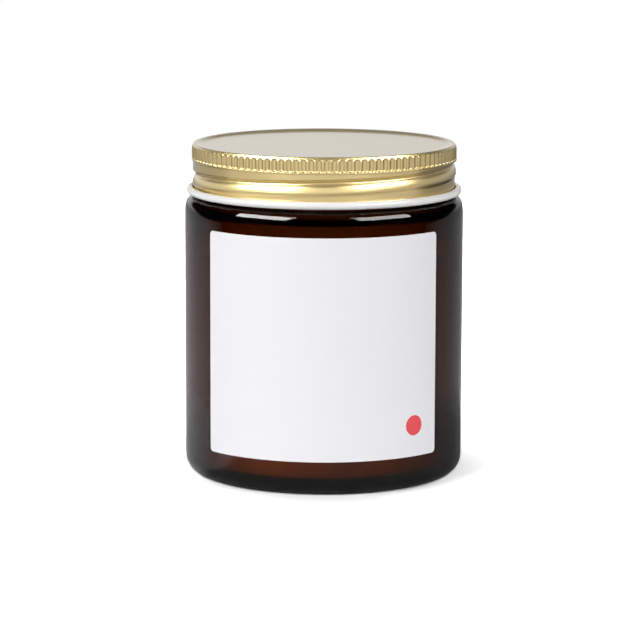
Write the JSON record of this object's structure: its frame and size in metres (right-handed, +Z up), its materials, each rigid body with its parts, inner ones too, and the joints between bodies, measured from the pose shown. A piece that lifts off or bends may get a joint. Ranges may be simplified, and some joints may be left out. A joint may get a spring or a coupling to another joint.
{
  "type": "candle jar",
  "caption": "Straight-sided amber glass candle jar with a gold screw lid, a sealing liner and a blank wrap-round label.",
  "frame": {"origin": "middle of the ring that the jar stands on, at the level of the table", "axes": "+Z up along the jar's and the lid's common axis; -Y points out of the middle of the label; +X is to the right when the label is read"},
  "size_m": [0.0666, 0.0668, 0.0793],
  "materials": {
    "amber_glass": "smooth gloss, dark amber soda-lime glass",
    "label_paper": "matt white coated paper",
    "liner_foam": "soft white polyethylene foam",
    "gold_tinplate": "gold lacquer on tinplate outside, white enamel inside and round the curled edge"
  },
  "bodies": {
    "jar": {"glass_jar": "amber_glass", "front_label": "label_paper"},
    "liner": {"lid_liner": "liner_foam"},
    "lid": {"lid_shell": "gold_tinplate"}
  },
  "joints": [
    {"name": "lid_lift", "type": "slide", "parent": "jar", "child": "liner", "axis": [0, 0, 1], "range_m": [0, 0.0127]},
    {"name": "lid_turn", "type": "hinge", "parent": "liner", "child": "lid", "pos_m": [0, 0, 0.0774], "axis": [0, 0, 1], "range_deg": [0, 900]}
  ],
  "couplings": [
    {"joint": "lid_lift", "follows": "lid_turn", "m_per_rad": 0.0008085}
  ]
}
